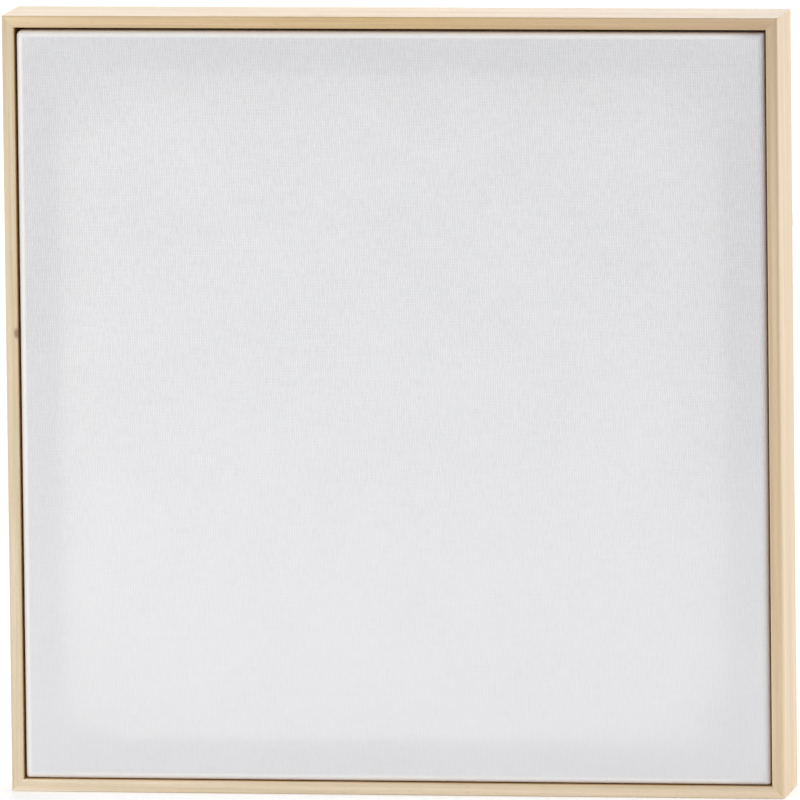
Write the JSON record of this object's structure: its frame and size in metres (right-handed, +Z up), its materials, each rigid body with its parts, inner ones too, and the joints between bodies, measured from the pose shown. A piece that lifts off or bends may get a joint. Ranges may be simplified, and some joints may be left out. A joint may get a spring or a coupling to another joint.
{
  "type": "stretched canvas",
  "caption": "Blank primed canvas stretched over a wooden stretcher with wedge keys, held with a small open gap in a pale wooden floating frame with ring hangers behind.",
  "frame": {"origin": "middle of the bottom edge face: on the centre line, half-way through the frame's depth, at the face the frame stands on", "axes": "+X to the right seen from the picture side, +Y from the picture side towards the wall, +Z up"},
  "size_m": [0.3112, 0.0436, 0.3111],
  "materials": {
    "frame_wood": "planed and sanded pale wood with a fine straight grain, bare or thinly oiled",
    "stretcher_wood": "planed softwood, bare",
    "key_wood": "sawn hardwood, bare",
    "primed_canvas": "plain weave, matt white priming in front and raw cotton behind",
    "staple_steel": "bright galvanised wire",
    "v_nail_steel": "dull rolled steel edge",
    "screw_steel": "zinc plated",
    "hanger_metal": "nickel plated"
  },
  "bodies": {
    "frame": {"frame_rail_bottom": "frame_wood", "frame_rail_right": "frame_wood", "frame_rail_top": "frame_wood", "frame_rail_left": "frame_wood", "v_nail_bottom_right": "v_nail_steel", "v_nail_top_right": "v_nail_steel", "v_nail_top_left": "v_nail_steel", "v_nail_bottom_left": "v_nail_steel", "stretcher_bar_bottom": "stretcher_wood", "stretcher_bar_right": "stretcher_wood", "stretcher_bar_top": "stretcher_wood", "stretcher_bar_left": "stretcher_wood", "canvas": "primed_canvas", "staples_bottom": "staple_steel", "staples_right": "staple_steel", "staples_top": "staple_steel", "staples_left": "staple_steel", "staples_corners": "staple_steel", "frame_screw_bottom": "screw_steel", "frame_screw_right": "screw_steel", "frame_screw_top": "screw_steel", "frame_screw_left": "screw_steel", "hanger_strap_left": "hanger_metal", "hanger_screw_left": "screw_steel", "hanger_strap_right": "hanger_metal", "hanger_screw_right": "screw_steel"},
    "key_bottom_right_front": {"key_bottom_right_front": "key_wood"},
    "key_bottom_left_back": {"key_bottom_left_back": "key_wood"},
    "key_top_right_front": {"key_top_right_front": "key_wood"},
    "key_bottom_right_back": {"key_bottom_right_back": "key_wood"},
    "key_top_left_front": {"key_top_left_front": "key_wood"},
    "key_top_right_back": {"key_top_right_back": "key_wood"},
    "key_bottom_left_front": {"key_bottom_left_front": "key_wood"},
    "key_top_left_back": {"key_top_left_back": "key_wood"},
    "hanger_ring_left": {"hanger_ring_left": "hanger_metal"},
    "hanger_ring_right": {"hanger_ring_right": "hanger_metal"}
  },
  "joints": [
    {"name": "key_bottom_right_front_slide", "type": "slide", "parent": "frame", "child": "key_bottom_right_front", "axis": [0, 0, 1], "range_m": [0, 0.012]},
    {"name": "key_bottom_left_back_slide", "type": "slide", "parent": "frame", "child": "key_bottom_left_back", "axis": [0, 0, 1], "range_m": [0, 0.012]},
    {"name": "key_top_right_front_slide", "type": "slide", "parent": "frame", "child": "key_top_right_front", "axis": [-1, 0, 0], "range_m": [0, 0.012]},
    {"name": "key_bottom_right_back_slide", "type": "slide", "parent": "frame", "child": "key_bottom_right_back", "axis": [-1, 0, 0], "range_m": [0, 0.012]},
    {"name": "key_top_left_front_slide", "type": "slide", "parent": "frame", "child": "key_top_left_front", "axis": [0, 0, -1], "range_m": [0, 0.012]},
    {"name": "key_top_right_back_slide", "type": "slide", "parent": "frame", "child": "key_top_right_back", "axis": [0, 0, -1], "range_m": [0, 0.012]},
    {"name": "key_bottom_left_front_slide", "type": "slide", "parent": "frame", "child": "key_bottom_left_front", "axis": [1, 0, 0], "range_m": [0, 0.012]},
    {"name": "key_top_left_back_slide", "type": "slide", "parent": "frame", "child": "key_top_left_back", "axis": [1, 0, 0], "range_m": [0, 0.012]},
    {"name": "hanger_ring_left_swing", "type": "hinge", "parent": "frame", "child": "hanger_ring_left", "pos_m": [-0.14855, 0.02178, 0.2311], "axis": [1, 0, 0], "range_deg": [0, 180]},
    {"name": "hanger_ring_right_swing", "type": "hinge", "parent": "frame", "child": "hanger_ring_right", "pos_m": [0.14855, 0.02178, 0.2311], "axis": [1, 0, 0], "range_deg": [0, 180]}
  ]
}
